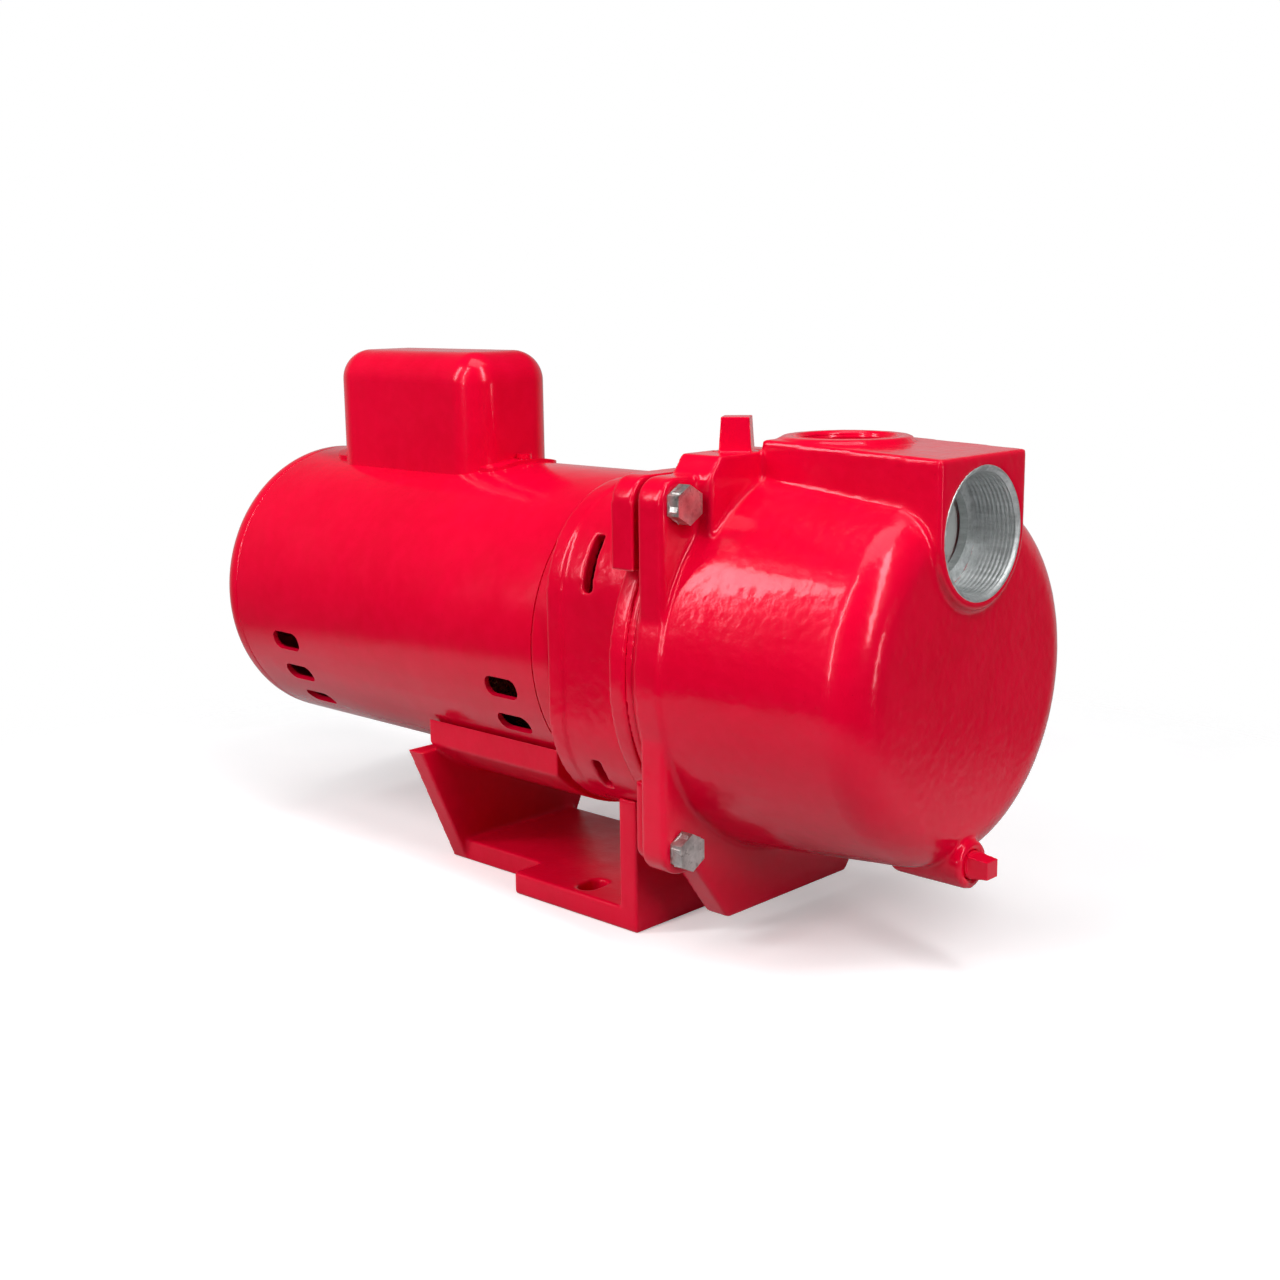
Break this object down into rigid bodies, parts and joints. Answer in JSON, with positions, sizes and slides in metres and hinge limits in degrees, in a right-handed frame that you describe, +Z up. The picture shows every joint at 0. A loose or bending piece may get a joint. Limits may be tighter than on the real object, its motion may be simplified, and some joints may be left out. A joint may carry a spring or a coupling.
{
  "type": "self-priming centrifugal pump",
  "caption": "Foot-mounted electric self-priming pump: round red motor with a capacitor hood, cast barrel casing, threaded suction in front and discharge on top.",
  "frame": {"origin": "on the floor, at the middle of the stand's two anchor slots, straight under the shaft", "axes": "+X along the shaft from the motor to the suction port, +Y across the pump, +Z up"},
  "size_m": [0.4935, 0.194, 0.283],
  "materials": {
    "red_paint": "gloss",
    "bolt_zinc": "satin",
    "steel": "satin",
    "bearing_steel": "polished",
    "lamination": "matte",
    "copper": "enamelled",
    "brass": "satin",
    "aluminium": "satin",
    "rubber": "matte",
    "black_plastic": "matte",
    "impeller_plastic": "satin",
    "seal_ceramic": "gloss",
    "seal_carbon": "matte",
    "board": "matte"
  },
  "bodies": {
    "frame": {"base_stand": "red_paint", "motor_pad": "rubber", "stand_screws": "red_paint", "mounting_adapter": "red_paint", "face_screws": "bolt_zinc", "motor_shell": "red_paint", "rear_end_shield": "red_paint", "front_end_shield": "red_paint", "thru_bolts": "red_paint", "shaft_cap": "black_plastic", "terminal_cover": "red_paint", "terminal_cover_screws": "red_paint", "terminal_board": "board", "terminal_studs": "brass", "stator_core": "lamination", "stator_windings": "copper", "switch_plate": "board", "switch_pin": "steel", "capacitor_cover": "red_paint", "cover_screws": "red_paint", "start_capacitor": "black_plastic", "capacitor_terminals": "brass", "capacitor_clip": "steel", "seal_plate": "red_paint", "seal_seat": "seal_ceramic", "diffuser": "impeller_plastic", "diffuser_screws": "steel", "diffuser_oring": "rubber", "casing_gasket": "rubber", "pump_casing": "red_paint", "casing_bolts": "bolt_zinc", "flap_pin": "brass", "front_bearing_outer": "bearing_steel", "rear_bearing_outer": "bearing_steel"},
    "rotor": {"rotor_core": "lamination", "rotor_cage": "aluminium", "motor_shaft": "steel", "front_bearing_inner": "bearing_steel", "rear_bearing_inner": "bearing_steel", "governor_hub": "steel", "governor_pins": "steel", "slinger": "rubber", "seal_head": "seal_carbon", "seal_spring": "bearing_steel", "impeller": "impeller_plastic"},
    "front_ball_set": {"front_bearing_balls": "bearing_steel"},
    "rear_ball_set": {"rear_bearing_balls": "bearing_steel"},
    "upper_weight": {"governor_weight_upper": "steel"},
    "lower_weight": {"governor_weight_lower": "steel"},
    "spool": {"governor_spool": "black_plastic"},
    "switch_arm": {"switch_lever": "brass"},
    "check_flap": {"flap_disc": "rubber", "flap_weight": "bolt_zinc"},
    "priming_plug": {"priming_plug": "red_paint"},
    "drain_plug": {"drain_plug": "red_paint"}
  },
  "joints": [
    {"name": "shaft_spin", "type": "hinge", "parent": "frame", "child": "rotor", "pos_m": [0, 0, 0.14], "axis": [1, 0, 0], "continuous": true},
    {"name": "front_cage_spin", "type": "hinge", "parent": "frame", "child": "front_ball_set", "pos_m": [-0.007, 0, 0.14], "axis": [1, 0, 0], "continuous": true},
    {"name": "rear_cage_spin", "type": "hinge", "parent": "frame", "child": "rear_ball_set", "pos_m": [-0.262, 0, 0.14], "axis": [1, 0, 0], "continuous": true},
    {"name": "upper_weight_swing", "type": "hinge", "parent": "rotor", "child": "upper_weight", "pos_m": [-0.209, 0, 0.162], "axis": [0, 1, 0], "range_deg": [0, 12]},
    {"name": "lower_weight_swing", "type": "hinge", "parent": "rotor", "child": "lower_weight", "pos_m": [-0.209, 0, 0.118], "axis": [0, -1, 0], "range_deg": [0, 12]},
    {"name": "spool_slide", "type": "slide", "parent": "rotor", "child": "spool", "axis": [1, 0, 0], "range_m": [0, 0.003], "stiffness_N_per_m": 300, "springref_m": -0.002},
    {"name": "switch_arm_swing", "type": "hinge", "parent": "frame", "child": "switch_arm", "pos_m": [-0.237, 0, 0.18], "axis": [0, -1, 0], "range_deg": [0, 6.7]},
    {"name": "check_flap_swing", "type": "hinge", "parent": "frame", "child": "check_flap", "pos_m": [0.171, 0, 0.233], "axis": [0, 1, 0], "range_deg": [0, 25]},
    {"name": "priming_plug_lift", "type": "slide", "parent": "frame", "child": "priming_plug", "axis": [0, 0, 1], "range_m": [0, 0.03]},
    {"name": "drain_plug_pull", "type": "slide", "parent": "frame", "child": "drain_plug", "axis": [1, 0, 0], "range_m": [0, 0.025]}
  ],
  "couplings": [
    {"joint": "front_cage_spin", "follows": "shaft_spin", "ratio": 0.3842},
    {"joint": "rear_cage_spin", "follows": "shaft_spin", "ratio": 0.3842},
    {"joint": "upper_weight_swing", "follows": "spool_slide", "rad_per_m": 69.743},
    {"joint": "lower_weight_swing", "follows": "spool_slide", "rad_per_m": 69.743},
    {"joint": "switch_arm_swing", "follows": "spool_slide", "rad_per_m": 38.4}
  ]
}
